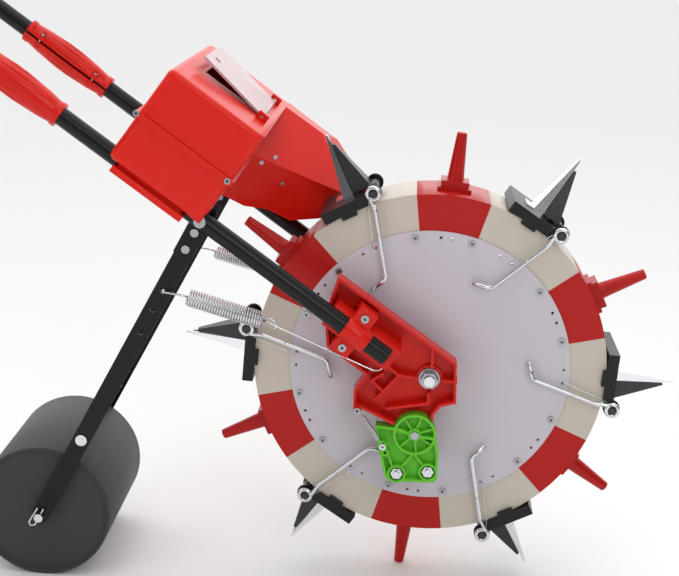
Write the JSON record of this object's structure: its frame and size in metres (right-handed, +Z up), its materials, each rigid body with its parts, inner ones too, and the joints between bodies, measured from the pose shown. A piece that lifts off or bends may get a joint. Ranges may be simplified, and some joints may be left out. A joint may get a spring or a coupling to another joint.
{
  "type": "rolling seeder",
  "caption": "Hand-push rolling seeder with a spiked nozzle drum, tilted red seed hopper, two handle tubes, striker cam and sprung press roller.",
  "frame": {"origin": "centre of the footprint's bounding box, on the ground", "axes": "+X the way it is pushed, +Y to the pusher's left, +Z up"},
  "size_m": [1.353, 0.2776, 0.8999],
  "materials": {
    "tube_black": "semi-gloss black powder coat",
    "red_shell": "glossy moulded red",
    "red_part": "glossy moulded red",
    "red_dark": "moulded dark red",
    "cream": "satin cream",
    "plate": "milky white sheet",
    "lid": "milky sheet over red",
    "green": "glossy moulded green",
    "black_plastic": "fine grain",
    "grip": "foam grip",
    "roller": "dark grey, scuffed",
    "zinc": "zinc plated",
    "bright": "bright plated sheet",
    "dark_steel": "dull sheet steel",
    "hub": "moulded"
  },
  "bodies": {
    "frame": {"main_tube_right": "tube_black", "main_tube_left": "tube_black", "upper_tube_right": "tube_black", "upper_tube_left": "tube_black", "handle_crossbar": "tube_black", "coupler_right": "red_part", "coupler_left": "red_part", "coupler_screws": "zinc", "grip_right": "grip", "grip_left": "grip", "bracket_right": "red_part", "bracket_left": "red_part", "tube_clamps": "red_part", "clamp_screws": "zinc", "axle_rod": "zinc", "axle_nuts": "zinc", "axle_spacers": "hub", "hopper_lower": "red_shell", "hopper_upper": "red_shell", "hopper_saddle": "red_shell", "hopper_chute": "red_shell", "hopper_screws": "zinc", "arm_pivot_bolts": "zinc", "cam_pivot_bolt": "zinc", "arm_spring_right": "zinc", "arm_spring_left": "zinc", "cam_spring": "zinc"},
    "drum": {"drum_plate_right": "plate", "drum_plate_left": "plate", "drum_hub": "hub", "spacer_segments": "red_dark", "ground_spikes": "red_dark", "seed_segments": "cream", "nozzle_bases": "black_plastic", "nozzle_blades": "bright", "plate_screws": "zinc"},
    "jaw1": {"jaw_1": "dark_steel", "lever_1": "zinc"},
    "jaw2": {"jaw_2": "dark_steel", "lever_2": "zinc"},
    "jaw3": {"jaw_3": "dark_steel", "lever_3": "zinc"},
    "jaw4": {"jaw_4": "dark_steel", "lever_4": "zinc"},
    "jaw5": {"jaw_5": "dark_steel", "lever_5": "zinc"},
    "jaw6": {"jaw_6": "dark_steel", "lever_6": "zinc"},
    "cam": {"cam_plate": "green", "cam_strikers": "zinc"},
    "press_arm": {"arm_bar_right": "tube_black", "arm_bar_left": "tube_black", "arm_tabs": "tube_black", "arm_cross_rod": "zinc", "arm_screws": "zinc", "roller_pin": "zinc"},
    "roller": {"press_roller": "roller"},
    "lid": {"hopper_lid": "lid"}
  },
  "joints": [
    {"name": "drum_spin", "type": "hinge", "parent": "frame", "child": "drum", "pos_m": [0.3913, 0, 0.26405], "axis": [0, 1, 0], "continuous": true},
    {"name": "jaw_1_swing", "type": "hinge", "parent": "drum", "child": "jaw1", "pos_m": [0.52753, -0.02, 0.42645], "axis": [0, 1, 0], "range_deg": [0, 18], "stiffness_Nm_per_rad": 0.8, "springref_deg": -20.05},
    {"name": "jaw_2_swing", "type": "hinge", "parent": "drum", "child": "jaw2", "pos_m": [0.31877, -0.02, 0.46323], "axis": [0, 1, 0], "range_deg": [0, 18], "stiffness_Nm_per_rad": 0.8, "springref_deg": -20.05},
    {"name": "jaw_3_swing", "type": "hinge", "parent": "drum", "child": "jaw3", "pos_m": [0.18254, -0.02, 0.30083], "axis": [0, 1, 0], "range_deg": [0, 18], "stiffness_Nm_per_rad": 0.8, "springref_deg": -20.05},
    {"name": "jaw_4_swing", "type": "hinge", "parent": "drum", "child": "jaw4", "pos_m": [0.25507, -0.02, 0.10165], "axis": [0, 1, 0], "range_deg": [0, 18], "stiffness_Nm_per_rad": 0.8, "springref_deg": -20.05},
    {"name": "jaw_5_swing", "type": "hinge", "parent": "drum", "child": "jaw5", "pos_m": [0.46383, -0.02, 0.06487], "axis": [0, 1, 0], "range_deg": [0, 18], "stiffness_Nm_per_rad": 0.8, "springref_deg": -20.05},
    {"name": "jaw_6_swing", "type": "hinge", "parent": "drum", "child": "jaw6", "pos_m": [0.60006, -0.02, 0.22727], "axis": [0, 1, 0], "range_deg": [0, 18], "stiffness_Nm_per_rad": 0.8, "springref_deg": -20.05},
    {"name": "cam_swing", "type": "hinge", "parent": "frame", "child": "cam", "pos_m": [0.3783, -0.084, 0.20005], "axis": [0, 1, 0], "range_deg": [-25, 0], "stiffness_Nm_per_rad": 0.6, "springref_deg": 28.65, "deforming": ["cam_spring"]},
    {"name": "arm_swing", "type": "hinge", "parent": "frame", "child": "press_arm", "pos_m": [0.1393, 0, 0.43905], "axis": [0, 1, 0], "range_deg": [0, 25], "stiffness_Nm_per_rad": 20, "springref_deg": -28.65, "deforming": ["arm_spring_right", "arm_spring_left"]},
    {"name": "roller_spin", "type": "hinge", "parent": "press_arm", "child": "roller", "pos_m": [-0.0453, 0, 0.07865], "axis": [0, 1, 0], "continuous": true},
    {"name": "lid_hinge", "type": "hinge", "parent": "frame", "child": "lid", "pos_m": [0.19653, 0, 0.54475], "axis": [0, 1, 0], "range_deg": [-9, 80]}
  ]
}
